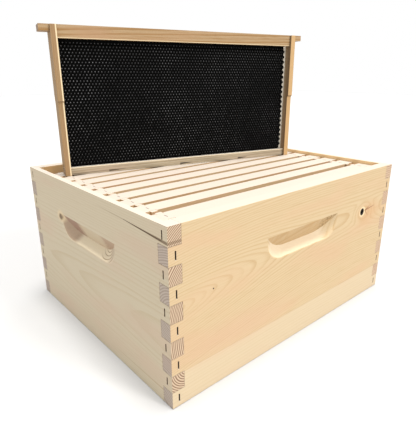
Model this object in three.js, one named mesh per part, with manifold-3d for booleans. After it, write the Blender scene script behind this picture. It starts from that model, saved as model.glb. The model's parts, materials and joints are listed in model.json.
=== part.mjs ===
// A ten-frame deep Langstroth hive box, with nine frames hanging in it and the tenth standing on top.
//
// Millimetres, +Z up. The origin is the middle of the box's footprint, on the surface that it stands on.
// X runs along the box's long sides and the frames, and -Y is the long side that faces the front.

import * as THREE from "three";
import Module from "manifold-3d";
import { ConvexGeometry } from "three/addons/geometries/ConvexGeometry.js";
import { mergeVertices } from "three/addons/utils/BufferGeometryUtils.js";

const wasm = await Module();
wasm.setup();

const INCH = 25.4;

// Box body: four boards that lock together with finger joints.
const BOX_LENGTH = 19.875 * INCH;
const BOX_WIDTH = 16.25 * INCH;
const BOX_HEIGHT = 9.625 * INCH;
const BOARD = 0.75 * INCH;
const FINGER_COUNT = 10;
const FINGER_HEIGHT = BOX_HEIGHT / FINGER_COUNT;
const GLUE_GAP = 0.2;

// Frame rest: the step along each end board's inner top edge that the frame lugs hang on.
const REST_WIDTH = 0.375 * INCH;
const REST_DEPTH = 0.625 * INCH;

// One staple is driven through each finger, in a slot that it has sunk into the wood.
const STAPLE_SLOT_HEIGHT = 11.5;
const STAPLE_SLOT_WIDTH = 2.1;
const STAPLE_SLOT_DEPTH = 2.6;
const STAPLE_FROM_CORNER = 10.5;

// Handhold: a pocket with a long face that slopes in from its straight top edge, down to a crease,
// and a short face that slopes out from the crease to its rounded bottom edge.
const HANDHOLD_WIDTH = 171;
const HANDHOLD_HEIGHT = 37;
const HANDHOLD_CORNER = 30;
const HANDHOLD_DEPTH = 12.7;
const HANDHOLD_CREASE_DROP = 25.5;
const HANDHOLD_CREASE_HALF_STRAIGHT = 30.5;
const HANDHOLD_TOP_Z = 187;

// The front board has one knot, with a hole where its heart has dropped out.
const KNOT_X = 163.5;
const KNOT_Z = 172;
const KNOT_HOLE_RADIUS = 4.6;
const KNOT_HOLE_DEPTH = 6;
const KNOT_HOLE_TAPER = 0.6;
const KNOT_HOLE_SIDES = 14;

// The left end board has a long shallow crack near one top corner, and small chips torn out of it
// beside the top corner of its handhold. Both are given along the board and up it.
const CRACK_FROM = [113, 229];
const CRACK_TO = [195, 224.6];
const CRACK_WIDTH = 0.7;
const CRACK_DEPTH = 1.2;
const CHIPS = [
  { at: [-88.5, 184.5], radius: 1.9 },
  { at: [-93, 180], radius: 2.3 },
  { at: [-86.5, 178.5], radius: 1.6 },
];
const CHIP_DEPTH = 2;
const CHIP_SIDES = 7;

// Frame: a top bar with a lug at each end, two end bars forked around the top and bottom bars,
// and a sheet of plastic foundation held in a groove in each bar.
const FRAME_HEIGHT = 9.125 * INCH;
const FRAME_LENGTH = 17.75 * INCH;
const FIT = 0.3;
const TOP_BAR_LENGTH = 19 * INCH;
const TOP_BAR_WIDTH = 1.0625 * INCH;
const TOP_BAR_HEIGHT = 0.75 * INCH;
const TOP_BAR_WAIST = 0.875 * INCH;
const LUG_HEIGHT = 0.375 * INCH;
const END_BAR = 0.375 * INCH;
const END_BAR_TOP_WIDTH = 1.375 * INCH;
const END_BAR_LOW_WIDTH = 1.125 * INCH;
const SHOULDER_Z = 0.52 * FRAME_HEIGHT;
const SHOULDER_RADIUS = 6;
const BOTTOM_BAR_WIDTH = 0.75 * INCH;
const BOTTOM_BAR_HEIGHT = 0.5 * INCH;
const GROOVE_WIDTH = 2.6;
const GROOVE_DEPTH = 8.3;
const FOUNDATION_LENGTH = 16.875 * INCH;
const FOUNDATION_HEIGHT = 8.5 * INCH;
const FOUNDATION_SHIFT = -1.2;
const FOUNDATION_EDGE = 2;
const FOUNDATION_CELLS = 4.4;
const FOUNDATION_MARGIN = 2.4;

// The hanging frames stand shoulder to shoulder, apart from three wider gaps, and the tenth place is free.
const HANGING_FRAMES = 9;
const FRAME_PITCH = 35.8;
const FIRST_FRAME_FROM_WALL = 27;
const EXTRA_GAP_AFTER = { 1: 4.6, 4: 1.8, 8: 2.1 };
const LUG_CLEARANCE = 0.2;
const HANGING_BOTTOM_Z = BOX_HEIGHT - REST_DEPTH + LUG_CLEARANCE + LUG_HEIGHT - FRAME_HEIGHT;

// The tenth frame stands on the top bars of the others, turned across them.
const STANDING_X = -4.2;
const STANDING_Y = 71.3;
const STANDING_TURN = THREE.MathUtils.degToRad(-14.7);
const STANDING_BOTTOM_Z = HANGING_BOTTOM_Z + FRAME_HEIGHT + FIT;

const pine = new THREE.MeshStandardMaterial({ color: 0xecd3a4, roughness: 0.72 });
const endBoardPine = new THREE.MeshStandardMaterial({ color: 0xe6cfa2, roughness: 0.74 });
const frameWood = new THREE.MeshStandardMaterial({ color: 0xd6b07a, roughness: 0.68 });
const blackPlastic = new THREE.MeshStandardMaterial({ color: 0x131314, roughness: 0.42 });

// A closed three.js geometry as a manifold-3d solid.
function toSolid(geometry) {
  const plain = geometry.index ? geometry.toNonIndexed() : geometry.clone();
  plain.deleteAttribute("normal");
  plain.deleteAttribute("uv");
  const merged = mergeVertices(plain, 1e-4);
  return new wasm.Manifold(
    new wasm.Mesh({
      numProp: 3,
      vertProperties: new Float32Array(merged.attributes.position.array),
      triVerts: new Uint32Array(merged.index.array),
    }),
  );
}

// A manifold-3d solid as a three.js geometry with flat faces.
function toGeometry(solid) {
  const mesh = solid.getMesh();
  const indexed = new THREE.BufferGeometry();
  indexed.setAttribute("position", new THREE.BufferAttribute(mesh.vertProperties, 3));
  indexed.setIndex(new THREE.BufferAttribute(mesh.triVerts, 1));
  const flat = indexed.toNonIndexed();
  flat.computeVertexNormals();
  return flat;
}

// A box between two corners.
function block(low, high) {
  const size = high.map((value, axis) => value - low[axis]);
  const middle = high.map((value, axis) => (value + low[axis]) / 2);
  return toSolid(new THREE.BoxGeometry(...size).translate(...middle));
}

// An outline in the X-Z plane, pushed along Y from -depth / 2 to depth / 2.
function plateXZ(points, depth) {
  const shape = new THREE.Shape(points.map(([x, z]) => new THREE.Vector2(x, z)));
  const geometry = new THREE.ExtrudeGeometry(shape, { depth, bevelEnabled: false });
  return toSolid(geometry.translate(0, 0, -depth / 2).rotateX(Math.PI / 2));
}

// An outline in the Y-Z plane, pushed along X from -depth / 2 to depth / 2.
function plateYZ(points, depth) {
  return plateXZ(points, depth).rotate([0, 0, 90]);
}

function cutAll(solid, cutters) {
  return cutters.reduce((cut, cutter) => cut.subtract(cutter), solid);
}

function makeMesh(name, solid, material) {
  const mesh = new THREE.Mesh(toGeometry(solid), material);
  mesh.name = name;
  return mesh;
}

// A board's outline: its ends step in and out where the fingers are. topIsFinger says whether the
// board holds the first, third and further odd fingers from the top, or the even ones.
function fingeredOutline(length, topIsFinger) {
  const fullEnd = length / 2;
  const cutEnd = length / 2 - BOARD - GLUE_GAP;
  const rightEdge = [];
  for (let i = 0; i < FINGER_COUNT; i += 1) {
    const isFinger = (i % 2 === 0) === topIsFinger;
    const x = isFinger ? fullEnd : cutEnd;
    const trim = isFinger ? -GLUE_GAP / 2 : GLUE_GAP / 2;
    const top = BOX_HEIGHT - i * FINGER_HEIGHT + (i === 0 ? 0 : trim);
    const bottom = BOX_HEIGHT - (i + 1) * FINGER_HEIGHT - (i === FINGER_COUNT - 1 ? 0 : trim);
    rightEdge.push([x, top], [x, bottom]);
  }
  const leftEdge = rightEdge.map(([x, z]) => [-x, z]).reverse();
  return [...rightEdge, ...leftEdge];
}

// The slots of the staples in a board that is BOARD thick, seen from its outer face at y = -BOARD / 2.
function stapleSlots(length, topIsFinger) {
  const slots = [];
  const face = -BOARD / 2;
  for (let i = topIsFinger ? 0 : 1; i < FINGER_COUNT; i += 2) {
    const z = BOX_HEIGHT - (i + 0.5) * FINGER_HEIGHT;
    for (const side of [-1, 1]) {
      const x = side * (length / 2 - STAPLE_FROM_CORNER);
      const low = [x - STAPLE_SLOT_WIDTH / 2, face - 1, z - STAPLE_SLOT_HEIGHT / 2];
      const high = [x + STAPLE_SLOT_WIDTH / 2, face + STAPLE_SLOT_DEPTH, z + STAPLE_SLOT_HEIGHT / 2];
      slots.push(block(low, high));
    }
  }
  return slots;
}

// The handhold as a solid to cut away: the hull of the pocket's outline on the board's outer face
// and of its crease, which curves up from its straight middle to the two top corners.
function handhold() {
  const face = -BOARD / 2;
  const halfWidth = HANDHOLD_WIDTH / 2;
  const cornerX = halfWidth - HANDHOLD_CORNER;
  const cornerZ = HANDHOLD_TOP_Z - HANDHOLD_HEIGHT + HANDHOLD_CORNER;
  const arcSpan = halfWidth - HANDHOLD_CREASE_HALF_STRAIGHT;
  const arcRadius = (arcSpan ** 2 + HANDHOLD_DEPTH ** 2) / (2 * HANDHOLD_DEPTH);
  const steps = 8;
  const points = [];
  const addPair = (x, y, z) => points.push(new THREE.Vector3(x, y, z), new THREE.Vector3(-x, y, z));

  addPair(halfWidth, face, HANDHOLD_TOP_Z);
  addPair(halfWidth, face - 1, HANDHOLD_TOP_Z);
  for (let i = 0; i <= steps; i += 1) {
    const angle = (i / steps) * (Math.PI / 2);
    const x = cornerX + HANDHOLD_CORNER * Math.cos(angle);
    const z = cornerZ - HANDHOLD_CORNER * Math.sin(angle);
    addPair(x, face, z);
    addPair(x, face - 1, z);
  }
  for (let i = 0; i < steps; i += 1) {
    const along = (i / steps) * arcSpan;
    const rise = arcRadius - Math.sqrt(arcRadius ** 2 - along ** 2);
    const share = 1 - rise / HANDHOLD_DEPTH;
    const x = HANDHOLD_CREASE_HALF_STRAIGHT + along;
    addPair(x, face + share * HANDHOLD_DEPTH, HANDHOLD_TOP_Z - share * HANDHOLD_CREASE_DROP);
  }
  return toSolid(new ConvexGeometry(points));
}

// A side or end board, lying along X with its outer face at y = -BOARD / 2.
function board(length, topIsFinger) {
  const blank = plateXZ(fingeredOutline(length, topIsFinger), BOARD);
  return cutAll(blank, [handhold(), ...stapleSlots(length, topIsFinger)]);
}

function sideBoard() {
  return board(BOX_LENGTH, false);
}

function knottySideBoard() {
  const hole = new THREE.CylinderGeometry(
    KNOT_HOLE_RADIUS * KNOT_HOLE_TAPER,
    KNOT_HOLE_RADIUS,
    KNOT_HOLE_DEPTH * 2,
    KNOT_HOLE_SIDES,
  );
  return sideBoard().subtract(toSolid(hole.translate(KNOT_X, -BOARD / 2, KNOT_Z)));
}

function endBoard() {
  const restEnd = BOX_WIDTH / 2 - BOARD;
  const rest = block(
    [-restEnd, BOARD / 2 - REST_WIDTH, BOX_HEIGHT - REST_DEPTH],
    [restEnd, BOARD / 2 + 1, BOX_HEIGHT + 1],
  );
  return board(BOX_WIDTH, true).subtract(rest);
}

function crackedEndBoard() {
  const run = [CRACK_TO[0] - CRACK_FROM[0], CRACK_TO[1] - CRACK_FROM[1]];
  const crack = new THREE.BoxGeometry(Math.hypot(...run), CRACK_DEPTH * 2, CRACK_WIDTH);
  crack.rotateY(-Math.atan2(run[1], run[0]));
  crack.translate((CRACK_FROM[0] + CRACK_TO[0]) / 2, -BOARD / 2, (CRACK_FROM[1] + CRACK_TO[1]) / 2);
  const chips = CHIPS.map(({ at, radius }) => {
    const chip = new THREE.CylinderGeometry(radius * 0.5, radius, CHIP_DEPTH * 2, CHIP_SIDES);
    return toSolid(chip.translate(at[0], -BOARD / 2, at[1]));
  });
  return cutAll(endBoard(), [toSolid(crack), ...chips]);
}

// A board's mesh, moved out to its wall and turned so that its outer face looks along the given angle.
function boardMesh(name, solid, turn, distance, material) {
  const mesh = makeMesh(name, solid, material);
  const angle = THREE.MathUtils.degToRad(turn);
  mesh.rotation.z = angle;
  mesh.position.set(Math.sin(angle) * distance, -Math.cos(angle) * distance, 0);
  return mesh;
}

// Everything below, up to makeFrame, is in a frame's own coordinates: its origin is the middle of its
// underside, X runs along its bars and Y through its thickness.

function topBar() {
  const endBarInside = FRAME_LENGTH / 2 - END_BAR - FIT;
  const endBarOutside = FRAME_LENGTH / 2 + FIT;
  const halfLength = TOP_BAR_LENGTH / 2;
  const halfWidth = TOP_BAR_WIDTH / 2;
  const underside = FRAME_HEIGHT - TOP_BAR_HEIGHT;
  const blank = block([-halfLength, -halfWidth, underside], [halfLength, halfWidth, FRAME_HEIGHT]);
  const cutters = [
    block(
      [-endBarInside, -GROOVE_WIDTH / 2, underside - 1],
      [endBarInside, GROOVE_WIDTH / 2, underside + GROOVE_DEPTH],
    ),
  ];
  for (const end of [-1, 1]) {
    const fromInsideTo = (x) => [end * endBarInside, end * x].sort((a, b) => a - b);
    const [lugLow, lugHigh] = fromInsideTo(halfLength + 1);
    const lugUnderside = FRAME_HEIGHT - LUG_HEIGHT;
    cutters.push(block([lugLow, -halfWidth - 1, underside - 1], [lugHigh, halfWidth + 1, lugUnderside]));
    const [waistLow, waistHigh] = fromInsideTo(endBarOutside);
    for (const side of [-1, 1]) {
      const [near, far] = [side * (TOP_BAR_WAIST / 2), side * (halfWidth + 1)].sort((a, b) => a - b);
      cutters.push(block([waistLow, near, underside - 1], [waistHigh, far, FRAME_HEIGHT + 1]));
    }
  }
  return cutAll(blank, cutters);
}

function bottomBar() {
  const halfLength = FRAME_LENGTH / 2;
  const halfWidth = BOTTOM_BAR_WIDTH / 2;
  const blank = block([-halfLength, -halfWidth, 0], [halfLength, halfWidth, BOTTOM_BAR_HEIGHT]);
  const groove = block(
    [-halfLength - 1, -GROOVE_WIDTH / 2, BOTTOM_BAR_HEIGHT - GROOVE_DEPTH],
    [halfLength + 1, GROOVE_WIDTH / 2, BOTTOM_BAR_HEIGHT + 1],
  );
  return blank.subtract(groove);
}

// An end bar, wide at the top so that it spaces the frames, narrow below its rounded shoulders,
// and forked at both ends. It is centred on x = 0.
function endBar() {
  const wide = END_BAR_TOP_WIDTH / 2;
  const narrow = END_BAR_LOW_WIDTH / 2;
  const step = wide - narrow;
  const arcAngle = Math.acos(1 - step / SHOULDER_RADIUS);
  const steps = 4;
  const halfOutline = [[narrow, 0]];
  for (let i = 0; i <= steps; i += 1) {
    const angle = (i / steps) * arcAngle;
    const y = narrow + SHOULDER_RADIUS * (1 - Math.cos(angle));
    halfOutline.push([y, SHOULDER_Z + SHOULDER_RADIUS * (Math.sin(angle) - Math.sin(arcAngle))]);
  }
  halfOutline.push([wide, FRAME_HEIGHT]);
  const mirrored = halfOutline.map(([y, z]) => [-y, z]).reverse();
  const blank = plateYZ([...halfOutline, ...mirrored], END_BAR);
  const topFork = TOP_BAR_WAIST / 2 + FIT;
  const bottomFork = BOTTOM_BAR_WIDTH / 2 + FIT;
  return cutAll(blank, [
    block([-END_BAR, -topFork, FRAME_HEIGHT - LUG_HEIGHT - FIT], [END_BAR, topFork, FRAME_HEIGHT + 1]),
    block([-END_BAR, -bottomFork, -1], [END_BAR, bottomFork, BOTTOM_BAR_HEIGHT + FIT]),
  ]);
}

// The foundation sheet: thin along the edges that the grooves hold, thicker over its field of cells.
// It is a little shorter than the frame's opening, and lies towards one end of it.
function foundation() {
  const low = BOTTOM_BAR_HEIGHT - GROOVE_DEPTH + FIT;
  const high = low + FOUNDATION_HEIGHT;
  const cellsLow = BOTTOM_BAR_HEIGHT + FOUNDATION_MARGIN;
  const cellsHigh = FRAME_HEIGHT - TOP_BAR_HEIGHT - FOUNDATION_MARGIN;
  const edge = FOUNDATION_EDGE / 2;
  const cells = FOUNDATION_CELLS / 2;
  const halfOutline = [
    [edge, low],
    [edge, cellsLow],
    [cells, cellsLow],
    [cells, cellsHigh],
    [edge, cellsHigh],
    [edge, high],
  ];
  const mirrored = halfOutline.map(([y, z]) => [-y, z]).reverse();
  return plateYZ([...halfOutline, ...mirrored], FOUNDATION_LENGTH).translate([FOUNDATION_SHIFT, 0, 0]);
}

// A frame as a group of its five pieces, each its own mesh.
function makeFrame(name) {
  const frame = new THREE.Group();
  const leftEndBar = makeMesh(`${name}_left_end_bar`, endBar(), frameWood);
  const rightEndBar = makeMesh(`${name}_right_end_bar`, endBar(), frameWood);
  leftEndBar.position.x = (END_BAR - FRAME_LENGTH) / 2;
  rightEndBar.position.x = (FRAME_LENGTH - END_BAR) / 2;
  frame.add(
    makeMesh(`${name}_top_bar`, topBar(), frameWood),
    makeMesh(`${name}_bottom_bar`, bottomBar(), frameWood),
    leftEndBar,
    rightEndBar,
    makeMesh(`${name}_foundation`, foundation(), blackPlastic),
  );
  return frame;
}

function makeBox() {
  const box = new THREE.Group();
  const toSide = (BOX_WIDTH - BOARD) / 2;
  const toEnd = (BOX_LENGTH - BOARD) / 2;
  box.add(
    boardMesh("front_side_board", knottySideBoard(), 0, toSide, pine),
    boardMesh("back_side_board", sideBoard(), 180, toSide, pine),
    boardMesh("left_end_board", crackedEndBoard(), -90, toEnd, endBoardPine),
    boardMesh("right_end_board", endBoard(), 90, toEnd, endBoardPine),
  );
  return box;
}

function makeHangingFrames() {
  const frames = new THREE.Group();
  let y = -BOX_WIDTH / 2 + BOARD + FIRST_FRAME_FROM_WALL;
  for (let number = 1; number <= HANGING_FRAMES; number += 1) {
    const frame = makeFrame(`frame_0${number}`);
    frame.position.set(0, y, HANGING_BOTTOM_Z);
    frames.add(frame);
    y += FRAME_PITCH + (EXTRA_GAP_AFTER[number] ?? 0);
  }
  return frames;
}

function makeStandingFrame() {
  const frame = makeFrame("standing_frame");
  frame.position.set(STANDING_X, STANDING_Y, STANDING_BOTTOM_Z);
  frame.rotation.z = STANDING_TURN;
  return frame;
}

const hive = new THREE.Group();
hive.add(makeBox(), makeHangingFrames(), makeStandingFrame());

export default hive;
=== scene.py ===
"""The looks of a ten-frame deep Langstroth hive box: bare pine boards, wooden frames and black foundation.

Everything is in metres, in the CAD model's own frame: X along the long side boards and the frames, -Y towards
the front, +Z up. The CAD boards and bars keep their shape and get sanded edges and solid wood. The foundation
sheets are replaced by sheets with moulded cells, and the staples that hold the wood together are added.
Materials measure in millimetres.
"""

import json
import math

import bmesh
import bpy
from mathutils import Matrix, Vector

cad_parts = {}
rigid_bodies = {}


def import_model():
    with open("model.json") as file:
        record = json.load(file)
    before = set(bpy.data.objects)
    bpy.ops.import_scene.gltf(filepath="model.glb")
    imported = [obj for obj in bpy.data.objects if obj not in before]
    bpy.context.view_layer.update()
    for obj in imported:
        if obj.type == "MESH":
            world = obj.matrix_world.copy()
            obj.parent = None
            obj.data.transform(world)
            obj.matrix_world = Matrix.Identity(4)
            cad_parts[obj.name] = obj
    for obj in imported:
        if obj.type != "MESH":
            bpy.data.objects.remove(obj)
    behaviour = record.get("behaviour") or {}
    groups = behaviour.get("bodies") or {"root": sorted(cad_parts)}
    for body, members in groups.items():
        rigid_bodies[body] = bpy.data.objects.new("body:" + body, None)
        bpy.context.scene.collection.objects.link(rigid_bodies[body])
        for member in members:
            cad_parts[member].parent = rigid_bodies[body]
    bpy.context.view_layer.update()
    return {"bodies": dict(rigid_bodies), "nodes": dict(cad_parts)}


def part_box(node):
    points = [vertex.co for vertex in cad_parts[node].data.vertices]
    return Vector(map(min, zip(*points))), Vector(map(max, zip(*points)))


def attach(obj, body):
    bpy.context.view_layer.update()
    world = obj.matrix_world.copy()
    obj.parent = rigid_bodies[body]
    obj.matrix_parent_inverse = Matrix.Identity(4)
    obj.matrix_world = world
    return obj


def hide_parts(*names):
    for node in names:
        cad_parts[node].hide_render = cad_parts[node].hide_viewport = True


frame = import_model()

MM = 0.001
STANDING = "standing_frame"
FRAMES = sorted(name for name in frame["bodies"] if name.startswith("frame_")) + [STANDING]

# The box, from its boards, and the fingers of its corner joints.
BOX_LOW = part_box("front_side_board")[0]
BOX_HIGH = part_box("back_side_board")[1]
FINGER_COUNT = 10
FINGER_HEIGHT = BOX_HIGH.z / FINGER_COUNT
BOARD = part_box("front_side_board")[1].y - BOX_LOW.y

# Frame rest: a step along each end board's top, this deep, with this much of the board left behind it.
REST_DEPTH = 15.875 * MM
REST_BACK = 9.525 * MM

# The standing frame is turned about Z. A frame's own origin is the middle of its underside.
STANDING_TURN = math.radians(-14.7)
TOP_BAR_HEIGHT = 19.05 * MM
BOTTOM_BAR_HEIGHT = 12.7 * MM
END_BAR = 9.525 * MM
FRAME_HALF_LENGTH = 225.425 * MM

# The screen colour of wood that faces up: painted light, paler than the wood's own colour.
PAINTED_TOP_LIGHT = (177, 169, 160)

# Corner staples: their crowns stand upright, sunk below the face of the board.
STAPLE_FROM_CORNER = 10.5 * MM
STAPLE_CROWN = 10.4 * MM
STAPLE_WIRE = 1.3 * MM
STAPLE_LEG = 3 * MM
STAPLE_SUNK = 1.9 * MM

# Frame staples: one through each end of a top bar, standing slightly proud of it.
FRAME_STAPLE_CROWN = 9 * MM
FRAME_STAPLE_WIRE = 1.0 * MM
FRAME_STAPLE_LEG = 2 * MM
FRAME_STAPLE_PROUD = 0.25 * MM

# From the middle of a staple's wire to its eight-sided section's corners, as a share of the wire's width.
WIRE_REACH = 0.52

# Foundation: six-sided cells on both faces, with one corner pointing up. CELL_FACE and SHEET_EDGE are half
# the sheet's thickness, at its cells and at the strips above and below them that sit in the bars' grooves.
CELL_PITCH = 5.45 * MM
CELL_COLUMNS = 78
CELL_ROWS = 41
CELL_FACE = 2.2 * MM
CELL_BASE_DEPTHS = (0.72 * MM, 0.5 * MM)
CELL_HEART_DEPTH = 1.16 * MM
CELL_BASE_SHARE = 0.68
SHEET_EDGE = 0.9 * MM
SHEET_HEIGHT = 215.9 * MM
SHEET_IN_GROOVE = 8 * MM
SHEET_SHIFT = (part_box("frame_01_foundation")[0].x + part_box("frame_01_foundation")[1].x) / 2


# ---------------------------------------------------------------- shader building


def srgb(red, green, blue):
    """A colour given as 0 to 255 screen values, as linear light with alpha."""
    linear = []
    for value in (red, green, blue):
        share = value / 255
        linear.append(share / 12.92 if share <= 0.04045 else ((share + 0.055) / 1.055) ** 2.4)
    return (*linear, 1.0)


def shade(tone, red, green=None, blue=None):
    """A screen colour, moved by so much in each channel, or by the same in all three."""
    green = red if green is None else green
    blue = red if blue is None else blue
    moved = (tone[0] + red, tone[1] + green, tone[2] + blue)
    return srgb(*(min(max(value, 0), 255) for value in moved))


class Shader:
    """A material's node tree, with a short call for each kind of node that this file uses."""

    def __init__(self, name):
        self.material = bpy.data.materials.new(name)
        self.material.use_nodes = True
        self.tree = self.material.node_tree
        self.tree.nodes.clear()
        output = self.tree.nodes.new("ShaderNodeOutputMaterial")
        self.surface = self.tree.nodes.new("ShaderNodeBsdfPrincipled")
        self.tree.links.new(self.surface.outputs["BSDF"], output.inputs["Surface"])

    def put(self, socket, value):
        if isinstance(value, bpy.types.NodeSocket):
            self.tree.links.new(value, socket)
        else:
            socket.default_value = value

    def finish(self, name, value):
        """Sets one of the surface's own inputs."""
        self.put(self.surface.inputs[name], value)

    def node(self, kind, inputs, **settings):
        made = self.tree.nodes.new(kind)
        for key, value in settings.items():
            setattr(made, key, value)
        for key, value in inputs.items():
            self.put(made.inputs[key], value)
        return made

    def coordinate(self, kind, turn=0.0):
        """Object is the point being shaded and Normal its face's direction, at rest, turned back by turn."""
        found = self.node("ShaderNodeTexCoord", {}).outputs[kind]
        if not turn:
            return found
        inputs = {"Vector": found, "Angle": -turn}
        return self.node("ShaderNodeVectorRotate", inputs, rotation_type="Z_AXIS").outputs[0]

    def math(self, operation, a, b=0.0):
        return self.node("ShaderNodeMath", {0: a, 1: b}, operation=operation).outputs[0]

    def add(self, a, b):
        return self.math("ADD", a, b)

    def subtract(self, a, b):
        return self.math("SUBTRACT", a, b)

    def times(self, a, b):
        return self.math("MULTIPLY", a, b)

    def blend(self, share, a, b):
        """From a to b, as numbers."""
        return self.add(a, self.times(share, self.subtract(b, a)))

    def split(self, vector):
        return self.node("ShaderNodeSeparateXYZ", {0: vector}).outputs

    def join(self, x, y, z):
        return self.node("ShaderNodeCombineXYZ", {0: x, 1: y, 2: z}).outputs[0]

    def vector(self, operation, a, b=(0.0, 0.0, 0.0)):
        made = self.node("ShaderNodeVectorMath", {0: a, 1: b}, operation=operation)
        return made.outputs["Value" if operation == "LENGTH" else "Vector"]

    def noise(self, vector, scale, detail=2.0, roughness=0.5):
        inputs = {"Vector": vector, "Scale": scale, "Detail": detail, "Roughness": roughness}
        return self.node("ShaderNodeTexNoise", inputs).outputs["Fac"]

    def smooth(self, value, low, high, to_low=0.0, to_high=1.0):
        inputs = {0: value, 1: low, 2: high, 3: to_low, 4: to_high}
        return self.node("ShaderNodeMapRange", inputs, interpolation_type="SMOOTHSTEP").outputs[0]

    def mix(self, share, a, b):
        """From a to b, as colours."""
        made = self.node("ShaderNodeMix", {}, data_type="RGBA")
        self.put(made.inputs[0], share)
        self.put(made.inputs[6], a)
        self.put(made.inputs[7], b)
        return made.outputs[2]

    def bump(self, height, distance, strength=1.0):
        inputs = {"Height": height, "Distance": distance, "Strength": strength}
        return self.node("ShaderNodeBump", inputs).outputs["Normal"]

    def spot(self, across, up, centre, radii, softness=0.5):
        """1 in an ellipse on a face, 0 outside it."""
        right = self.math("DIVIDE", self.subtract(across, centre[0]), radii[0])
        high = self.math("DIVIDE", self.subtract(up, centre[1]), radii[1])
        reach = self.vector("LENGTH", self.join(right, high, 0.0))
        return self.smooth(reach, 1.0 + softness, 1.0 - softness)

    def stroke(self, across, up, start, end, width):
        """1 along a thin line on a face, which is widest at its start and thins out to its end."""
        run = Vector(end) - Vector(start)
        along = run.normalized()
        right = self.subtract(across, start[0])
        high = self.subtract(up, start[1])
        passed = self.add(self.times(right, along.x), self.times(high, along.y))
        aside = self.subtract(self.times(high, along.x), self.times(right, along.y))
        share = self.math("DIVIDE", passed, run.length)
        half = self.smooth(share, 0.0, 1.0, width / 2, width / 10)
        inside = self.smooth(self.subtract(self.math("ABSOLUTE", aside), half), 0.35, -0.15)
        ends = self.times(self.smooth(share, -0.03, 0.03), self.smooth(share, 1.0, 0.8))
        return self.times(inside, ends)


# ---------------------------------------------------------------- lights, camera and floor


def make_camera():
    """It stands before the box's front left corner, above its rim, and looks slightly down."""
    data = bpy.data.cameras.new("camera")
    data.lens = 34.66
    data.sensor_width = 36
    data.clip_end = 50
    camera = bpy.data.objects.new("camera", data)
    camera.location = (-0.4958, -0.5508, 0.3986)
    camera.rotation_euler = (math.radians(71.2), 0, math.radians(-41.23))
    bpy.context.scene.collection.objects.link(camera)
    bpy.context.scene.camera = camera


def add_softbox(name, towards, energy, angle, colour):
    """A soft light from far away. towards: the direction it comes from, and angle: its width in degrees."""
    data = bpy.data.lights.new(name, "SUN")
    data.energy = energy
    data.angle = math.radians(angle)
    data.color = colour
    softbox = bpy.data.objects.new(name, data)
    softbox.rotation_euler = Vector(towards).to_track_quat("Z", "Y").to_euler()
    bpy.context.scene.collection.objects.link(softbox)


def make_lights():
    """A white studio, a strong light from above and a weaker one on the front board."""
    world = bpy.data.worlds.new("studio")
    world.use_nodes = True
    background = world.node_tree.nodes["Background"]
    background.inputs["Color"].default_value = (1.0, 1.0, 1.0, 1.0)
    background.inputs["Strength"].default_value = 1.0
    bpy.context.scene.world = world
    add_softbox("overhead", (0.02, -0.06, 1.0), 4.1, 20, (1.0, 0.985, 0.96))
    add_softbox("front_right", (0.25, -0.75, 0.6), 1.9, 12, (1.0, 0.97, 0.92))
    bpy.context.scene.view_settings.view_transform = "Standard"


def make_floor():
    shader = Shader("studio_floor")
    shader.finish("Base Color", (0.43, 0.43, 0.43, 1))
    shader.finish("Roughness", 0.9)
    mesh = bpy.data.meshes.new("floor")
    reach, below = 8, -0.0005
    corners = [(-reach, -reach), (reach, -reach), (reach, reach), (-reach, reach)]
    mesh.from_pydata([(x, y, below) for x, y in corners], [], [(0, 1, 2, 3)])
    mesh.materials.append(shader.material)
    floor = bpy.data.objects.new("floor", mesh)
    bpy.context.scene.collection.objects.link(floor)


# ---------------------------------------------------------------- wood


def ring_phase(s, axes, along, pith, lean, bow, spacing, wander):
    """The growth rings' count outwards from the pith. pith, lean and bow are for the two axes across the
    grain: where the pith is at 0, how far it drifts for each metre along, and how far it bends 100 mm
    from 0."""
    grain = axes[along]
    across = [axes[axis] for axis in range(3) if axis != along]
    bent = s.times(s.times(grain, grain), 0.0001)
    offsets = []
    for value, at, drift, bend in zip(across, pith, lean, bow):
        line = s.add(s.times(grain, drift / 1000), s.times(bent, bend))
        offsets.append(s.subtract(s.subtract(value, at), line))
    distance = s.add(s.vector("LENGTH", s.join(*offsets, 0.0)), wander)
    years = s.noise(s.join(s.times(distance, 0.045), along + 0.5, spacing), 1.0, 2.0)
    return s.add(s.math("DIVIDE", distance, spacing), s.times(years, 3.0))


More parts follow.
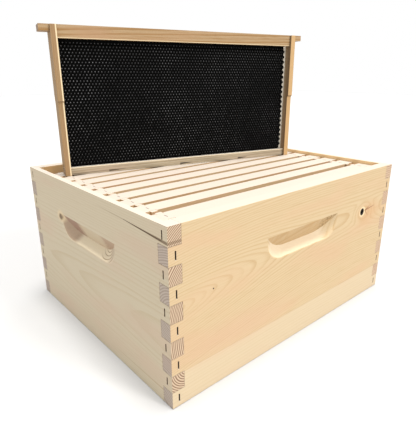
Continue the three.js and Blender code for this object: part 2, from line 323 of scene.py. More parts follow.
def wood(
    name, along, pith, tone, end_tone=(190, 165, 138), lean=(0, 0), bow=(0, 0), spacing=3.4, contrast=1.0,
    end_contrast=1.0, cut_contrast=1.0, wave=10.0, seed=0.0, turn=0.0, strip=None, swirl=None,
    marks=None,
):
    """Unfinished pine, as solid wood: growth rings round a pith line show as arcs on a face across the grain
    and as lines on a face along it. Faces that look up are painted paler, as painted light.

    along: the axis that the grain runs along, 0 to 2. tone, end_tone: colours of a face and of end grain.
    pith, lean, bow, spacing: of the rings, as ring_phase takes them. wave: how far the rings wander.
    contrast, end_contrast, cut_contrast: of the rings along the grain, on end grain and on sloping cuts.
    seed: tells boards apart. turn: the piece's turn about Z.
    strip: (height, pith, spacing, paleness) of a lower strip that is glued on, with rings of its own.
    swirl: a function that bends the rings, and marks: one that adds a board's own marks to its colour."""
    s = Shader(name)
    place = s.vector("MULTIPLY", s.coordinate("Object", turn), (1000.0, 1000.0, 1000.0))
    normal = s.split(s.coordinate("Normal", turn))
    axes = s.split(place)
    grain = axes[along]
    first, second = [axes[axis] for axis in range(3) if axis != along]

    slow = s.join(s.times(grain, 0.003), s.times(first, 0.011), s.times(second, 0.011))
    slow = s.vector("ADD", slow, (seed, seed * 0.7, seed * 1.3))
    wander = s.times(s.subtract(s.noise(slow, 1.0, 3.0), 0.5), wave)
    if swirl:
        wander = s.add(wander, swirl(s, axes))
    phase = ring_phase(s, axes, along, pith, lean, bow, spacing, wander)
    glued = None
    if strip:
        glue_height, strip_pith, strip_spacing, paleness = strip
        strip_phase = ring_phase(s, axes, along, strip_pith, (0, 0), (0, 0), strip_spacing, wander)
        glued = s.math("LESS_THAN", axes[2], glue_height)
        phase = s.blend(glued, phase, strip_phase)
    ring = s.math("FRACT", phase)
    year = s.noise(s.join(s.times(s.math("FLOOR", phase), 7.31), seed, 0.0), 1.0, 0.0)
    late = s.times(s.smooth(ring, 0.45, 0.95), s.smooth(ring, 1.0, 0.95))
    late = s.times(late, s.smooth(year, 0.25, 0.7, 0.35, 1.0))

    # Fibres are fine streaks along the grain.
    fibre_place = s.join(s.times(grain, 0.02), s.times(first, 0.8), s.times(second, 0.8))
    fibres = s.noise(fibre_place, 1.0, 4.0, 0.65)
    fine = s.noise(s.vector("MULTIPLY", fibre_place, (2.0, 4.0, 4.0)), 1.0, 3.0, 0.6)
    cloud = s.noise(s.vector("ADD", slow, (9.0, 4.0, 2.0)), 2.0, 2.0)

    squareness = s.math("MAXIMUM", s.math("ABSOLUTE", normal[0]), s.math("ABSOLUTE", normal[1]))
    squareness = s.math("MAXIMUM", squareness, s.math("ABSOLUTE", normal[2]))
    boldness = s.smooth(squareness, 0.98, 0.92, 0.8 * contrast, 0.8 * cut_contrast)
    face = s.mix(s.times(late, boldness), srgb(*tone), shade(tone, -22, -32, -42))
    face = s.mix(s.smooth(cloud, 0.45, 0.7, 0.0, 0.7), face, shade(tone, 1, -8, -6))
    face = s.mix(s.smooth(fibres, 0.48, 0.75, 0.0, 0.45 * contrast), face, shade(tone, -24, -32, -40))
    face = s.mix(s.smooth(fine, 0.35, 0.6, 0.12, 0.0), face, shade(tone, 14))
    if strip:
        face = s.mix(s.times(glued, 0.6 * paleness), face, shade(tone, 6, 12, 20))
        seam = s.math("ABSOLUTE", s.subtract(axes[2], glue_height))
        face = s.mix(s.smooth(seam, 0.8, 0.1, 0.0, 0.35 * paleness), face, shade(tone, -30, -40, -46))

    # End grain is greyer and darker, with bold rings and open pores.
    bold = s.times(s.smooth(ring, 0.3, 0.62), s.smooth(ring, 1.0, 0.9))
    pores = s.noise(place, 1.1, 3.0, 0.7)
    pale = 16 * end_contrast
    dark = -46 * end_contrast
    end_face = s.mix(bold, shade(end_tone, pale), shade(end_tone, dark, dark * 1.1, dark))
    end_face = s.mix(s.smooth(pores, 0.5, 0.8, 0.0, 0.4), end_face, shade(end_tone, -54, -58, -54))
    facing = s.math("ABSOLUTE", normal[along])
    colour = s.mix(s.smooth(facing, 0.6, 0.9), face, end_face)
    # Painted light: faces that look up are mixed towards a paler colour.
    upward = s.smooth(normal[2], 0.7, 0.95)
    colour = s.mix(s.times(upward, 0.85), colour, srgb(*PAINTED_TOP_LIGHT))
    if marks:
        colour = marks(s, axes, normal, colour, tone)

    s.finish("Base Color", colour)
    s.finish("Roughness", s.smooth(fibres, 0.2, 0.8, 0.62, 0.8))
    height = s.add(s.times(fibres, 0.7), s.times(late, 0.25))
    s.finish("Normal", s.bump(height, 0.0002, 0.55))
    s.finish("Specular IOR Level", 0.28)
    return s.material


# ---------------------------------------------------------------- marks of the single boards

# Places on the boards and bars, in millimetres. The standing frame's are along its own axes, turned back: its
# middle, its middle plane, and the bands along its opening.
KNOT = (163.6, 172.0)
# Each crack's start, end, width and depth of colour.
CRACKS = (((-207, 224.2), (-108, 229.4), 3.4, 0.8), ((-112, 229), (-40, 231.5), 1.4, 0.3))
STANDING_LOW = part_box("standing_frame_bottom_bar")[0] / MM
STANDING_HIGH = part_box("standing_frame_bottom_bar")[1] / MM
STANDING_CENTRE = (STANDING_LOW + STANDING_HIGH) / 2
STANDING_MIDDLE = (Matrix.Rotation(-STANDING_TURN, 3, "Z") @ STANDING_CENTRE).x
OPENING_LOW = STANDING_HIGH.z
OPENING_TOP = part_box("standing_frame_top_bar")[1].z / MM - TOP_BAR_HEIGHT / MM
OPENING_HIGH = (OPENING_TOP - 1, OPENING_TOP + 0.4)
OPENING_SIDE = STANDING_MIDDLE - (FRAME_HALF_LENGTH - END_BAR) / MM
OPENING_LEFT = (OPENING_SIDE - 2.6, OPENING_SIDE + 1)
STANDING_PLANE = (Matrix.Rotation(-STANDING_TURN, 3, "Z") @ STANDING_CENTRE).y
SLITS = ((-152, 32), (-18, 26), (107, 22))
SLIT_HEIGHT = STANDING_LOW.z + 2.4


def knot_swirl(s, axes):
    """The rings of the front board run round its knot, mostly on the side of its tail."""
    close = s.spot(axes[0], axes[2], (KNOT[0] + 4, KNOT[1]), (24, 13), 0.9)
    wide = s.spot(axes[0], axes[2], (KNOT[0] + 14, KNOT[1] - 6), (40, 20), 0.9)
    return s.add(s.times(close, 7.0), s.times(wide, 5.0))


def facing_down(s, normal):
    """1 on the sloping upper face of a handhold."""
    return s.times(s.smooth(normal[2], -0.25, -0.4), s.smooth(normal[2], -0.8, -0.6))


def milled_and_shaded_handhold(s, axes, normal, colour, tone, along, strength):
    """The upper face of a handhold, which looks down, is painted darker and browner in streaks across its
    length: partly the cutter's burnish, partly painted shade.
    """
    downward = facing_down(s, normal)
    streaks = s.noise(s.join(s.times(axes[along], 0.5), 0.0, s.times(axes[2], 0.03)), 1.0, 3.0, 0.6)
    share = s.times(downward, s.smooth(streaks, 0.3, 0.75, 0.3, 1.0))
    return s.mix(s.times(share, strength), colour, shade(tone, -12, -32, -52))


def box_marks(s, axes, normal, colour, tone):
    """What all four boards have: inner faces painted paler and warmer as painted light, staple slots whose
    walls are painted dark as painted shade, and thin dark lines between the fingers of the corner joints."""
    away = [s.math("ABSOLUTE", axes[0]), s.math("ABSOLUTE", axes[1])]
    reach = [BOX_HIGH.x / MM, BOX_HIGH.y / MM]
    walls = [far - BOARD / MM for far in reach]
    inside = [s.smooth(from_middle, wall + 0.5, wall + 0.1) for from_middle, wall in zip(away, walls)]
    step = reach[0] - REST_BACK / MM
    floor = (BOX_HIGH.z - REST_DEPTH) / MM
    rest = s.times(s.smooth(away[0], step + 0.5, step + 0.1), s.smooth(axes[2], floor - 0.2, floor + 0.2))
    inner = s.math("MAXIMUM", s.times(*inside), s.times(rest, inside[1]))
    # Painted light: the inner faces and the faces of the frame rests are made paler and warmer.
    colour = s.mix(s.times(inner, 0.8), colour, shade(tone, 54, 36, 14))
    upright = s.smooth(s.math("ABSOLUTE", normal[2]), 0.6, 0.4)
    for this, other in ((0, 1), (1, 0)):
        beside = s.math("ABSOLUTE", s.subtract(away[this], reach[this] - STAPLE_FROM_CORNER / MM))
        sunk = s.subtract(reach[other], away[other])
        deep = s.times(s.smooth(sunk, 0.15, 0.5), s.smooth(sunk, 4, 3.6))
        # Painted shade: the walls of each staple slot are made dark.
        painted_slot_shade = s.times(s.smooth(beside, 2.0, 1.7), deep)
        colour = s.mix(s.times(s.times(painted_slot_shade, upright), 0.85), colour, srgb(46, 34, 24))
    finger = FINGER_HEIGHT / MM
    share = s.math("FRACT", s.math("DIVIDE", s.add(axes[2], finger / 2), finger))
    gap = s.times(s.math("ABSOLUTE", s.subtract(share, 0.5)), finger)
    corner = s.smooth(gap, 0.75, 0.3)
    for from_middle, wall in zip(away, walls):
        corner = s.times(corner, s.smooth(from_middle, wall - 0.4, wall + 0.2))
    return s.mix(s.times(s.times(corner, upright), 0.5), colour, srgb(96, 74, 54))


def front_marks(s, axes, normal, colour, tone):
    """The front board: its handhold, torn at the right end, a pink stain, a knot and a pin hole."""
    across, up = axes[0], axes[2]
    colour = box_marks(s, axes, normal, colour, tone)
    colour = milled_and_shaded_handhold(s, axes, normal, colour, tone, 0, 0.6)
    cut = s.smooth(axes[1], BOX_LOW.y / MM + 0.4, BOX_LOW.y / MM + 1.0)
    handhold = s.spot(across, up, (-15, 164), (72, 28), 0.15)
    # Painted light: the handhold's floor, where the cut looks up, is made paler.
    plain = s.times(s.times(cut, handhold), s.smooth(normal[2], -0.1, 0.1))
    colour = s.mix(s.times(plain, 0.8), colour, shade(tone, 16, 20, 28))
    torn = s.times(s.smooth(normal[2], -0.25, -0.4), s.smooth(across, 34, 62))
    hatch = s.noise(s.join(s.times(across, 0.55), 0.0, s.times(up, 0.2)), 1.0, 1.0)
    colour = s.mix(s.times(torn, s.smooth(hatch, 0.42, 0.6, 0.0, 0.8)), colour, shade(tone, -78, -84, -98))
    pink = s.spot(across, up, (-140, 68), (90, 22), 0.8)
    colour = s.mix(s.times(pink, 0.36), colour, shade(tone, 4, -14, -4))
    halo = s.spot(across, up, (KNOT[0] + 22, KNOT[1] - 4), (30, 17), 0.8)
    colour = s.mix(s.times(halo, 0.45), colour, shade(tone, 0, -26, -34))
    rim = s.spot(across, up, (KNOT[0] + 1, KNOT[1]), (9.5, 9.0), 0.15)
    colour = s.mix(rim, colour, shade(tone, 26, 24, 20))
    heart = s.spot(across, up, KNOT, (6.0, 6.4), 0.12)
    colour = s.mix(heart, colour, srgb(26, 17, 11))
    for end, width in (((207, 177), 2.6), ((191, 181), 1.6), ((186, 160), 1.5)):
        tail = s.stroke(across, up, (KNOT[0] + 9, KNOT[1] + 1), end, width)
        colour = s.mix(s.times(tail, 0.75), colour, srgb(128, 84, 50))
    pin = s.spot(across, up, (-184.8, 146.6), (1.1, 1.1), 0.3)
    return s.mix(pin, colour, srgb(40, 24, 16))


def left_marks(s, axes, normal, colour, tone):
    """The left board: its handhold, darker and browner at the far end as painted shade, with painted light on
    its floor and ring lines at the near end, a small knot beside it, and cracks that run to the front corner."""
    across, up = axes[1], axes[2]
    colour = box_marks(s, axes, normal, colour, tone)
    colour = milled_and_shaded_handhold(s, axes, normal, colour, tone, 1, 0.35)
    cut = s.smooth(axes[0], BOX_LOW.x / MM + 0.5, BOX_LOW.x / MM + 1.2)
    # Painted shade: the far end of the handhold is made darker and browner.
    painted_far_shade = s.times(cut, s.spot(across, up, (62, 167), (26, 26), 0.3))
    upward = s.times(cut, s.smooth(normal[2], 0.1, 0.3))
    lit = s.times(upward, s.spot(across, up, (0, 160), (64, 24), 0.1))
    colour = s.mix(s.times(lit, 0.8), colour, shade(tone, 26, 24, 20))
    colour = s.mix(s.times(painted_far_shade, 0.9), colour, shade(tone, -30, -41, -39))
    reach = s.vector("LENGTH", s.join(s.add(across, 48), s.subtract(up, 178), 0.0))
    contour = s.math("FRACT", s.math("DIVIDE", reach, 4.4))
    near_end = s.times(cut, s.spot(across, up, (-66, 160), (26, 22), 0.3))
    line = s.times(s.smooth(contour, 0.62, 0.8), s.smooth(contour, 1.0, 0.92))
    colour = s.mix(s.times(s.times(near_end, line), 0.8), colour, shade(tone, -50, -58, -60))
    # The face that looks down is browner in streaks at the far end and darker at the near end: partly its own
    # streaks, partly painted shade.
    far = s.smooth(across, 16, 30)
    downward = facing_down(s, normal)
    streaks = s.noise(s.join(s.times(across, 0.35), 0.0, s.times(up, 0.02)), 1.0, 2.0)
    brown = s.times(s.times(downward, far), s.smooth(streaks, 0.3, 0.6, 0.55, 1.0))
    colour = s.mix(brown, colour, shade(tone, -44, -62, -56))
    near = s.times(downward, s.smooth(across, -38, -54))
    colour = s.mix(s.times(near, 0.6), colour, shade(tone, -34, -54, -52))
    colour = s.mix(s.spot(across, up, (88, 182), (12, 9), 0.5), colour, shade(tone, 18, 10, 0))
    shadow = s.spot(across, up, (89, 181), (6, 5), 0.5)
    colour = s.mix(s.times(shadow, 0.8), colour, srgb(92, 70, 50))
    for start, end, width, depth in CRACKS:
        crack = s.stroke(across, up, start, end, width)
        colour = s.mix(s.times(crack, depth), colour, srgb(104, 82, 58))
    low = s.stroke(across, up, (-206, 19), (-60, 16), 1.6)
    colour = s.mix(s.times(low, 0.45), colour, srgb(150, 118, 84))
    return colour


def plain_marks(along):
    """A board with no marks but those that all boards have. along: its grain's axis."""

    def marks(s, axes, normal, colour, tone):
        colour = box_marks(s, axes, normal, colour, tone)
        return milled_and_shaded_handhold(s, axes, normal, colour, tone, along, 0.5)

    return marks


def bright_edge(axis, opening):
    """The front of a standing bar is paler along the frame's opening, on the side where axis is opening."""
    start, end = opening

    def marks(s, axes, normal, colour, tone):
        front = s.smooth(normal[1], -0.7, -0.9)
        pale = s.times(s.smooth(axes[axis], start, start + 1), s.smooth(axes[axis], end + 1, end))
        return s.mix(s.times(front, pale), colour, srgb(222, 202, 166))

    return marks


def right_end_marks(s, axes, normal, colour, tone):
    """The right standing end bar has painted light on its front edge. Its inner face has painted light at the
    sheet and painted shade that gets darker from there to the front."""
    # Painted light: the front edge is made brighter.
    front = s.smooth(normal[1], -0.7, -0.9)
    colour = s.mix(s.times(front, 0.8), colour, srgb(196, 160, 112))
    inner = s.smooth(normal[0], -0.7, -0.9)
    ahead = s.subtract(STANDING_PLANE, axes[1])
    # Painted shade on the inner face, darkest towards the front, and a paler part near the sheet.
    colour = s.mix(s.times(inner, s.smooth(ahead, 16, 4, 0.6, 0.0)), colour, srgb(108, 84, 56))
    colour = s.mix(s.times(inner, s.smooth(ahead, 7, 2, 0.0, 0.4)), colour, srgb(170, 146, 114))
    # Painted light: a pale strip on the inner face at the sheet.
    painted_light_at_sheet = s.times(s.smooth(ahead, 0.9, 0.2), s.smooth(ahead, -8, -6))
    return s.mix(s.times(inner, painted_light_at_sheet), colour, srgb(246, 238, 220))


def bottom_bar_marks(s, axes, normal, colour, tone):
    """The standing frame's bottom bar: weathered grey-brown streaks, dark slits, a darker line low down, a
    paler upper edge.
    """
    stretched = s.join(s.times(axes[0], 0.012), s.times(axes[1], 0.3), s.times(axes[2], 0.4))
    streaks = s.noise(stretched, 1.0, 3.0, 0.6)
    colour = s.mix(s.smooth(streaks, 0.48, 0.68, 0.0, 0.35), colour, shade(tone, -50, -52, -54))
    for start, length in SLITS:
        from_x = STANDING_MIDDLE + start
        slit = s.stroke(axes[0], axes[2], (from_x, SLIT_HEIGHT), (from_x + length, SLIT_HEIGHT + 0.8), 2.6)
        colour = s.mix(s.times(slit, 0.95), colour, srgb(40, 32, 26))
    # A darker line near the bar's lower edge.
    low_start = (STANDING_MIDDLE - 214, STANDING_LOW.z + 2.2)
    low = s.stroke(axes[0], axes[2], low_start, (STANDING_MIDDLE - 70, STANDING_LOW.z + 3.4), 1.6)
    colour = s.mix(s.times(low, 0.7), colour, srgb(104, 90, 70))
    # Paler along the upper edge, at the opening.
    pale = s.times(s.smooth(axes[2], OPENING_LOW - 1.6, OPENING_LOW - 0.9), s.smooth(normal[1], -0.2, -0.5))
    return s.mix(s.times(pale, 0.9), colour, srgb(220, 204, 174))


# ---------------------------------------------------------------- boards and bars


def soften_edges(node, width):
    """Sanded edges on a CAD node: its mesh is welded and its sharp edges are rounded, by modifiers."""
    weld = node.modifiers.new("weld", "WELD")
    weld.merge_threshold = 0.00001
    bevel = node.modifiers.new("sanded_edges", "BEVEL")
    bevel.width = width
    bevel.segments = 2
    bevel.limit_method = "ANGLE"
    bevel.angle_limit = math.radians(40)
    bevel.harden_normals = True


def wear(name, material, edge):
    """Gives a CAD node its material and sanded edges, this wide."""
    node = frame["nodes"][name]
    node.data.materials.clear()
    node.data.materials.append(material)
    soften_edges(node, edge)


def finish_boards():
    sanded = 0.6 * MM
    grey_end = (173, 159, 145)
    front = wood(
        "front_pine", 0, (-246.5, 166.4), (193, 171, 136), end_tone=grey_end, lean=(-78, 68.7),
        bow=(2.6, -2.1), spacing=3.4, contrast=0.75, end_contrast=0.35, cut_contrast=0.8, seed=1.0,
        strip=(48, (-150, -60), 4.2, 1.0), swirl=knot_swirl, marks=front_marks,
    )
    back = wood(
        "back_pine", 0, (262, 60), (193, 171, 137), end_tone=grey_end, lean=(60, 40), spacing=3.3,
        contrast=0.7, end_contrast=0.7, cut_contrast=0.9, seed=2.0, marks=plain_marks(0),
    )
    left = wood(
        "left_pine", 1, (-111, 100), (193, 180, 155), end_tone=(180, 158, 132), lean=(16, 12), spacing=2.6,
        contrast=0.42, end_contrast=1.1, cut_contrast=0.3, wave=4.0, seed=3.0,
        strip=(48, (-228, 52), 3.0, 0.0), marks=left_marks,
    )
    right = wood(
        "right_pine", 1, (190, 120), (190, 173, 143), lean=(-60, 20), spacing=3.0, contrast=0.5,
        end_contrast=1.0, seed=4.0, marks=plain_marks(1),
    )
    wear("front_side_board", front, sanded)
    wear("back_side_board", back, sanded)
    wear("left_end_board", left, sanded)
    wear("right_end_board", right, sanded)


def hanging_woods():
    """Three shades of bar and of end bar, which the hanging frames take in turn."""
    bars = []
    ends = []
    for i, tone in enumerate([(186, 157, 120), (190, 163, 127), (180, 150, 113)]):
        pith = (60 + 40 * i, 30 - 50 * i)
        bar = wood(
            f"bar_wood_{i}", 0, pith, tone, lean=(20, -15), spacing=2.6, contrast=0.6, seed=5.0 + i,
        )
        bars.append(bar)
        pith = (300, 10 + 60 * i)
        end = wood(
            f"end_bar_wood_{i}", 2, pith, tone, end_tone=(196, 174, 142), lean=(10, 15), spacing=2.4,
            seed=9.0 + i,
        )
        ends.append(end)
    return bars, ends


def standing_woods():
    """The standing frame's wood is darker and streaky: brown end and top bars, and a weathered bottom bar."""
    shared = {"turn": STANDING_TURN, "end_tone": (150, 128, 104)}
    top = wood(
        "standing_top_wood", 0, (160, 520), (165, 139, 105), lean=(10, 12), spacing=3.1, contrast=2.0,
        seed=14.0, marks=bright_edge(2, OPENING_HIGH), **shared,
    )
    bottom = wood(
        "standing_bottom_wood", 0, (90, 300), (170, 158, 136), lean=(14, 22), spacing=3.4, contrast=1.4,
        seed=15.0, marks=bottom_bar_marks, **shared,
    )
    left = wood(
        "standing_left_wood", 2, (-330, 20), (150, 124, 90), lean=(8, 10), spacing=2.4, seed=16.0,
        marks=bright_edge(0, OPENING_LEFT), **shared,
    )
    right = wood(
        "standing_right_wood", 2, (300, 20), (148, 124, 93), lean=(8, 10), spacing=2.4, seed=17.0,
        marks=right_end_marks, **shared,
    )
    return {"top_bar": top, "bottom_bar": bottom, "left_end_bar": left, "right_end_bar": right}


def finish_frames():
    sanded = 0.5 * MM
    bars, ends = hanging_woods()
    standing = standing_woods()
    for number, name in enumerate(FRAMES):
        turn = number % len(bars)
        next_turn = (number + 1) % len(bars)
        hanging = {"top_bar": bars[turn], "bottom_bar": bars[turn], "left_end_bar": ends[turn]}
        hanging["right_end_bar"] = ends[next_turn]
        for piece, material in (standing if name == STANDING else hanging).items():
            wear(f"{name}_{piece}", material, sanded)


# ---------------------------------------------------------------- foundation


def black_plastic(name, turn, middle):
    """Black plastic with a painted highlight, a pale spot on the floor of each cell, stronger towards the
    left end.
    middle: the sheet's middle plane in millimetres, with the frame turned back by turn."""
    s = Shader(name)
    place = s.vector("MULTIPLY", s.coordinate("Object", turn), (1000.0, 1000.0, 1000.0))
    axes = s.split(place)
    from_middle = s.math("ABSOLUTE", s.subtract(axes[1], middle))
    heart = (CELL_FACE - CELL_HEART_DEPTH) / MM
    # Painted highlight: each cell's floor is made pale where it would catch the light.
    near_face = s.smooth(from_middle, heart + 0.3, heart + 0.12)
    near_heart = s.smooth(from_middle, heart - 0.1, heart - 0.02)
    painted_glint = s.times(near_face, near_heart)
    single = s.noise(place, 0.16, 2.0, 0.8)
    patch = s.noise(place, 0.012, 2.0)
    glint_amount = s.times(s.smooth(single, 0.35, 0.68, 0.25, 1.0), s.smooth(patch, 0.35, 0.65, 0.45, 1.0))
    glint_amount = s.times(glint_amount, s.smooth(axes[0], 200, -200, 0.5, 1.0))
    s.finish("Base Color", s.mix(s.times(painted_glint, glint_amount), srgb(4, 4, 4), srgb(132, 132, 134)))
    s.finish("Roughness", s.smooth(single, 0.3, 0.7, 0.25, 0.45))
    s.finish("Specular IOR Level", 0.03)
    return s.material


def frame_turn(name):
    return STANDING_TURN if name == STANDING else 0.0


def frame_place(name):
    """A frame's own coordinates at rest: the middle of its underside, X along its bars, Y through it."""
    low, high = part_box(f"{name}_bottom_bar")
    middle = Vector(((low.x + high.x) / 2, (low.y + high.y) / 2, low.z))
    return Matrix.Translation(middle) @ Matrix.Rotation(frame_turn(name), 4, "Z")


def cell_sheet(height, with_walls):
    """One foundation sheet in its frame's own coordinates, as a closed mesh. Each cell is a six-sided cup
    with a pointed base; without walls it is a plain six-sided dimple. The cells end in a zigzag at the right,
    and at the left flats fill the notches. Thin strips run above and below the cells into the bars' grooves.
    height: of the frame."""
    radius = CELL_PITCH / math.sqrt(3)
    row_step = radius * 1.5
    field_width = CELL_PITCH * (CELL_COLUMNS + 0.5)
    field_height = row_step * (CELL_ROWS - 1) + 2 * radius
    field_low = (BOTTOM_BAR_HEIGHT + height - TOP_BAR_HEIGHT - field_height) / 2
    sheet_low = BOTTOM_BAR_HEIGHT - SHEET_IN_GROOVE
    sheet_high = sheet_low + SHEET_HEIGHT
    bm = bmesh.new()
    known = {}

    def vertex(x, y, z):
        key = (round(x / MM, 2), round(y / MM, 2), round(z / MM, 2))
        if key not in known:
            known[key] = bm.verts.new((x, y, z))
        return known[key]

    def ring(x, z, share, depths):
        """The corners of a six-sided ring round a cell's middle, anticlockwise from the front."""
        corners = []
        for i in range(6):
            angle = math.radians(60 * i - 30)
            depth = depths[i % 2]
            reach = radius * share
            across = x + reach * math.cos(angle)
            corners.append(vertex(across, -CELL_FACE + depth, z + reach * math.sin(angle)))
        return corners

    def cell(x, z):
        inner = ring(x, z, 1.0, (0.0, 0.0))
        if with_walls:
            rim = inner
            inner = ring(x, z, CELL_BASE_SHARE, CELL_BASE_DEPTHS)
            for i in range(6):
                bm.faces.new((rim[i], rim[(i + 1) % 6], inner[(i + 1) % 6], inner[i]))
        heart = vertex(x, -CELL_FACE + CELL_HEART_DEPTH, z)
        for i in range(6):
            bm.faces.new((inner[i], inner[(i + 1) % 6], heart))

    for row in range(CELL_ROWS):
        z = field_low + radius + row * row_step
        start = SHEET_SHIFT - field_width / 2 + CELL_PITCH / 2 * (1 + row % 2)
        for column in range(CELL_COLUMNS):
            cell(start + column * CELL_PITCH, z)
        if row % 2:
            # A flat fills the notch at the left end of each second row.
            left = start - CELL_PITCH
            notch = [(left, -1), (left + CELL_PITCH / 2, -0.5), (left + CELL_PITCH / 2, 0.5), (left, 1)]
            bm.faces.new([vertex(x, -CELL_FACE, z + up * radius) for x, up in notch])

    # The strips: a step down from the cells' zigzag edge, and a flat face on to the sheet's straight edge.
    for edge_z, beyond in ((sheet_low, -1), (sheet_high, 1)):
        outer = field_low if beyond < 0 else field_low + field_height
        zigzag = []
        for v in bm.verts:
            near_edge = abs(v.co.z - outer) < radius * 0.6
            on_rim = abs(v.co.y + CELL_FACE) < 0.01 * MM
            if near_edge and on_rim and any(e.is_boundary for e in v.link_edges):
                zigzag.append(v)
        zigzag.sort(key=lambda v: v.co.x)
        stepped = [vertex(v.co.x, -SHEET_EDGE, v.co.z) for v in zigzag]
        for i in range(len(zigzag) - 1):
            wall = (zigzag[i], zigzag[i + 1], stepped[i + 1], stepped[i])
            bm.faces.new(wall if beyond < 0 else wall[::-1])
        corners = [vertex(v.co.x, -SHEET_EDGE, edge_z) for v in (stepped[-1], stepped[0])]
        strip = stepped + corners
        bm.faces.new(strip if beyond > 0 else strip[::-1])

    # The back face mirrors the front one, and the two are joined round their edge.
    front_faces = list(bm.faces)
    rim_edges = [e for e in bm.edges if e.is_boundary]
    rim_pairs = []
    for edge in rim_edges:
        loop = edge.link_loops[0]
        rim_pairs.append((loop.vert, loop.link_loop_next.vert))
    mirror = {v: bm.verts.new((v.co.x, -v.co.y, v.co.z)) for v in list(bm.verts)}
    for face in front_faces:
        bm.faces.new([mirror[v] for v in reversed(face.verts)])
    slivers = []
    for start, end in rim_pairs:
        bm.faces.new((end, start, mirror[start], mirror[end]))
        if abs(start.co.y - end.co.y) > 0.5 * MM:
            outermost = start if abs(start.co.y) > abs(end.co.y) else end
            slivers.append(bm.edges.get((outermost, mirror[outermost])))
    bmesh.ops.dissolve_edges(bm, edges=slivers)
    bmesh.ops.triangulate(bm, faces=[f for f in bm.faces if len(f.verts) > 4])
    mesh = bpy.data.meshes.new("cell_sheet")
    bm.to_mesh(mesh)
    bm.free()
    return mesh


def lay_foundation():
    low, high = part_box("frame_01_left_end_bar")
    height = high.z - low.z
    walled = cell_sheet(height, with_walls=True)
    dimpled = cell_sheet(height, with_walls=False)
    for name in FRAMES:
        mesh = (walled if name == STANDING else dimpled).copy()
        mesh.name = f"{name}_cell_sheet"
        place = frame_place(name)
        turn = frame_turn(name)
        middle = (Matrix.Rotation(-turn, 3, "Z") @ place.translation).y / MM
        mesh.transform(place)
        mesh.materials.append(black_plastic(f"{name}_plastic", turn, middle))
        sheet = bpy.data.objects.new(f"{name}_cell_sheet", mesh)
        bpy.context.scene.collection.objects.link(sheet)
        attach(sheet, name)
        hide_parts(f"{name}_foundation")


# ---------------------------------------------------------------- staples


def staple_steel():
    s = Shader("staple_steel")
    rust = s.noise(s.coordinate("Object"), 900.0, 3.0, 0.6)
    # The steel is painted nearly black, mottled with rust: its darkness is partly painted shade, for the
    # slots the corner staples sit in.
    s.finish("Base Color", s.mix(s.smooth(rust, 0.45, 0.7), srgb(34, 32, 30), srgb(22, 17, 14)))
    s.finish("Metallic", 0.3)
    s.finish("Roughness", s.smooth(rust, 0.3, 0.7, 0.35, 0.6))
    return s.material


def add_staple(bm, place, crown, wire, leg):
    """A staple's crown and the tops of its legs: a wire with an eight-sided section, bent round its own
    width. place puts its crown along local X, its outer face at about local z = 0 and its legs going down."""
    to_leg = crown / 2 - wire / 2
    path = [(-to_leg, -leg)]
    for i in range(4):
        angle = math.radians(30 * i)
        inwards = wire * (1 - math.cos(angle))
        below = wire * (1 - math.sin(angle))
        path.append((-to_leg + inwards, -wire / 2 - below))
    path += [(-x, z) for x, z in reversed(path)]
    section_sides = 8
    rings = []
    for i, (x, z) in enumerate(path):
        before = Vector(path[max(i - 1, 0)])
        after = Vector(path[min(i + 1, len(path) - 1)])
        direction = (after - before).normalized()
        across = Vector((-direction.y, direction.x))
        corners = []
        for k in range(section_sides):
            angle = math.tau * (k + 0.5) / section_sides
            out = across * math.cos(angle) * wire * WIRE_REACH
            point = Vector((x + out.x, math.sin(angle) * wire * WIRE_REACH, z + out.y))
            corners.append(bm.verts.new(place @ point))
        rings.append(corners)
    for one, two in zip(rings, rings[1:]):
        for k in range(section_sides):
            following = (k + 1) % section_sides
            bm.faces.new((one[k], one[following], two[following], two[k]))
    bm.faces.new(rings[0][::-1])
    bm.faces.new(rings[-1])


def staple_piece(name, places, crown, wire, leg, material, body):
    bm = bmesh.new()
    for place in places:
        add_staple(bm, place, crown, wire, leg)
    bmesh.ops.recalc_face_normals(bm, faces=bm.faces)
    mesh = bpy.data.meshes.new(name)
    bm.to_mesh(mesh)
    bm.free()
    mesh.materials.append(material)
    mesh.shade_smooth()
    piece = bpy.data.objects.new(name, mesh)
    bpy.context.scene.collection.objects.link(piece)
    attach(piece, body)


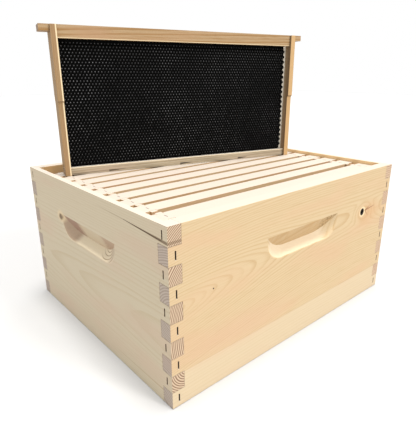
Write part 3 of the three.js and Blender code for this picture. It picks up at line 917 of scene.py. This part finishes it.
def upright_on(origin, outward):
    """A staple's place on an upright face, whose outward direction is a unit vector: its crown stands upright
    and its legs point into the board."""
    crown = Vector((0, 0, 1))
    side = outward.cross(crown)
    rotation = Matrix((crown, side, outward)).transposed().to_4x4()
    return Matrix.Translation(origin) @ rotation


def corner_staples(steel):
    """One staple in each finger, through the board that the finger belongs to."""
    walls = {
        "front_side_board": (Vector((0, -1, 0)), Vector((1, 0, 0)), 1),
        "back_side_board": (Vector((0, 1, 0)), Vector((1, 0, 0)), 1),
        "left_end_board": (Vector((-1, 0, 0)), Vector((0, 1, 0)), 0),
        "right_end_board": (Vector((1, 0, 0)), Vector((0, 1, 0)), 0),
    }
    half = (BOX_HIGH - BOX_LOW) / 2
    for board, (outward, sideways, first_finger) in walls.items():
        to_face = abs(outward.dot(half)) - STAPLE_SUNK
        to_staple = abs(sideways.dot(half)) - STAPLE_FROM_CORNER
        places = []
        for finger in range(first_finger, FINGER_COUNT, 2):
            z = BOX_HIGH.z - (finger + 0.5) * FINGER_HEIGHT
            for side in (-1, 1):
                origin = outward * to_face + sideways * side * to_staple + Vector((0, 0, z))
                places.append(upright_on(origin, outward))
        staple_piece(f"{board}_staples", places, STAPLE_CROWN, STAPLE_WIRE, STAPLE_LEG, steel, "hive_box")


def frame_staples(steel):
    """A staple through the top of each lug into the end bar below it, with its crown across the bar."""
    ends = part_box("frame_01_right_end_bar")
    to_end_bar = (ends[0].x + ends[1].x) / 2
    across_bar = Matrix.Rotation(math.radians(90), 4, "Z")
    for name in FRAMES:
        place = frame_place(name)
        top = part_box(f"{name}_top_bar")[1].z
        places = []
        for side in (-1, 1):
            origin = Vector((side * to_end_bar, 0, top - place.translation.z + FRAME_STAPLE_PROUD))
            places.append(place @ Matrix.Translation(origin) @ across_bar)
        size = (FRAME_STAPLE_CROWN, FRAME_STAPLE_WIRE, FRAME_STAPLE_LEG)
        staple_piece(f"{name}_staples", places, *size, steel, name)


make_camera()
make_lights()
make_floor()
finish_boards()
finish_frames()
lay_foundation()
steel = staple_steel()
corner_staples(steel)
frame_staples(steel)
